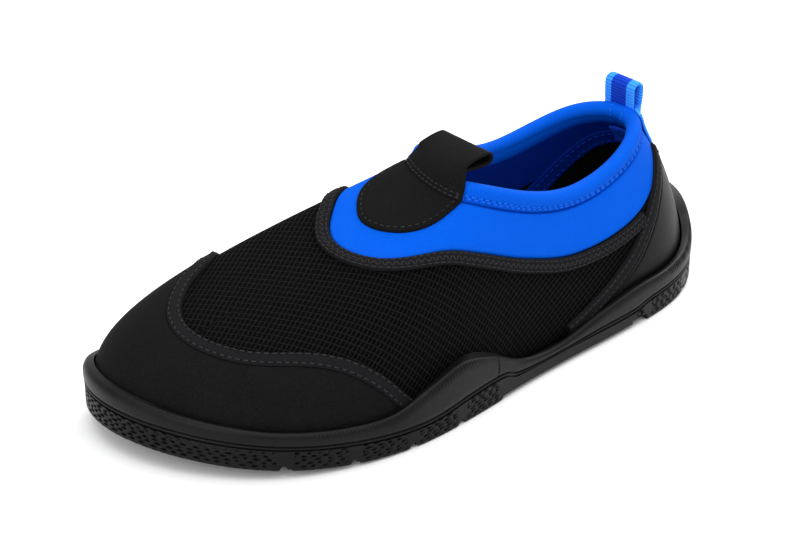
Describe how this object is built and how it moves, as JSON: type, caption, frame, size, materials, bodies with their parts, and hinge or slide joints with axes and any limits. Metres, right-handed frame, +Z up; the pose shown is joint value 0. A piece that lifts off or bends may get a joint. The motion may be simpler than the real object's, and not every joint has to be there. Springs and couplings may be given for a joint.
{
  "type": "water shoe",
  "caption": "Low slip-on water shoe for the left foot: rubber outsole, mesh vamp with a bound toe cap, neoprene collar with a rolled rim, throat tab and heel pull loop.",
  "frame": {"origin": "point on the ground under the middle of the outsole's plan box", "axes": "+X to the toe, +Y to the outer (little-toe) side of this left shoe, +Z up"},
  "size_m": [0.2874, 0.108, 0.091],
  "materials": {
    "outsole_rubber": "moulded, low sheen",
    "vamp_mesh": "open knitted mesh",
    "black_synthetic": "fine matt grain",
    "binding_tape": "stitched tape",
    "blue_neoprene": "jersey-faced neoprene",
    "blue_webbing": "ribbed grosgrain, lighter edges",
    "black_lining": "brushed knit",
    "footbed_foam": "fabric-covered foam",
    "stiffener_board": "pressed fibre"
  },
  "bodies": {
    "shoe": {"outsole_tread": "outsole_rubber", "sole_cup": "outsole_rubber", "lasting_board": "stiffener_board", "insole": "footbed_foam", "toe_puff": "stiffener_board", "toe_cap": "black_synthetic", "toe_binding": "binding_tape", "heel_counter": "stiffener_board", "heel_panel": "black_synthetic", "counter_binding_outer": "binding_tape", "counter_binding_inner": "binding_tape", "mesh_vamp": "vamp_mesh", "collar_trim": "binding_tape", "neoprene_collar": "blue_neoprene", "collar_rim": "blue_neoprene", "heel_lining": "black_lining", "lining_binding": "blue_neoprene", "vamp_lining": "black_lining", "collar_lining": "blue_neoprene", "tongue_patch": "black_synthetic", "tab_band": "black_synthetic", "heel_loop_outer_tail": "blue_webbing", "heel_loop_inner_tail": "blue_webbing"},
    "pull_loop": {"heel_loop": "blue_webbing"},
    "throat_tab": {"front_tab": "black_synthetic"}
  },
  "joints": [
    {"name": "pull_loop_flex", "type": "hinge", "parent": "shoe", "child": "pull_loop", "pos_m": [-0.1113, -0.0087, 0.078], "axis": [0, 1, 0], "range_deg": [-70, 40], "stiffness_Nm_per_rad": 0.01},
    {"name": "throat_tab_lift", "type": "hinge", "parent": "shoe", "child": "throat_tab", "pos_m": [-0.0035, -0.0007, 0.0848], "axis": [0, 1, 0], "range_deg": [-8, 75], "stiffness_Nm_per_rad": 0.02}
  ]
}
